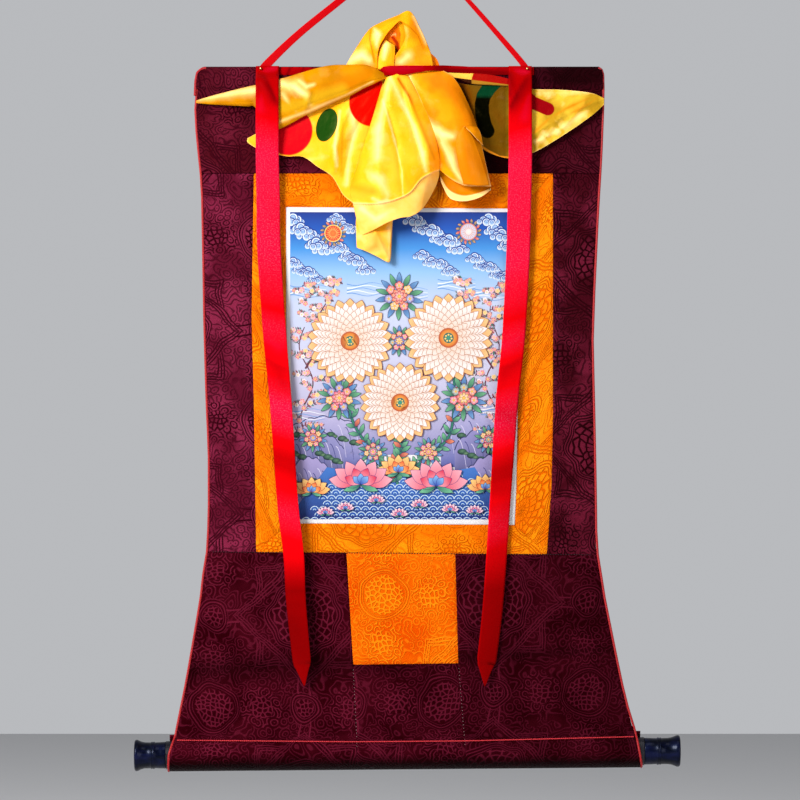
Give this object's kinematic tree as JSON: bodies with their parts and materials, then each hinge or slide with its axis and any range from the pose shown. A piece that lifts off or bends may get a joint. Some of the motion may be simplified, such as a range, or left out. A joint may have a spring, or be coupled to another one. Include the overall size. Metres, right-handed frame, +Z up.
{
  "type": "hanging scroll painting with brocade mount",
  "caption": "Small hung scroll painting: a canvas in a pieced brocade mount that flares to a wooden roller with lacquered knobs, with red satin ribbons and a gathered yellow silk veil.",
  "frame": {"origin": "the point that the scroll hangs from, at the top of its hanging ribbon", "axes": "+Z up the scroll's length, +X to the viewer's right, -Y out of the painted side, towards the viewer"},
  "size_m": [0.7092, 0.0639, 1.0817],
  "materials": {
    "damask": "wine-red figured damask, faint satin figure",
    "saffron": "saffron brocade, raised figure",
    "canvas": "printed canvas, matt",
    "red_satin": "bright red satin",
    "yellow_silk": "glossy yellow silk satin",
    "lacquer": "dark gloss lacquer",
    "wood": "plain turned wood",
    "gilt": "polished"
  },
  "bodies": {
    "root": {"border_bottom": "saffron", "border_left": "saffron", "border_right": "saffron", "border_top": "saffron", "brocade_foot_left": "damask", "brocade_foot_middle": "damask", "brocade_foot_right": "damask", "brocade_left": "damask", "brocade_right": "damask", "brocade_top": "damask", "canvas": "canvas", "door_panel": "saffron", "hanging_ribbon": "red_satin", "knob_left": "lacquer", "knob_right": "lacquer", "pin_left": "gilt", "pin_right": "gilt", "piping_left": "red_satin", "piping_right": "red_satin", "piping_roller": "red_satin", "roller": "wood", "streamer_left": "red_satin", "streamer_right": "red_satin", "tie_band": "red_satin", "veil": "yellow_silk"}
  },
  "joints": []
}
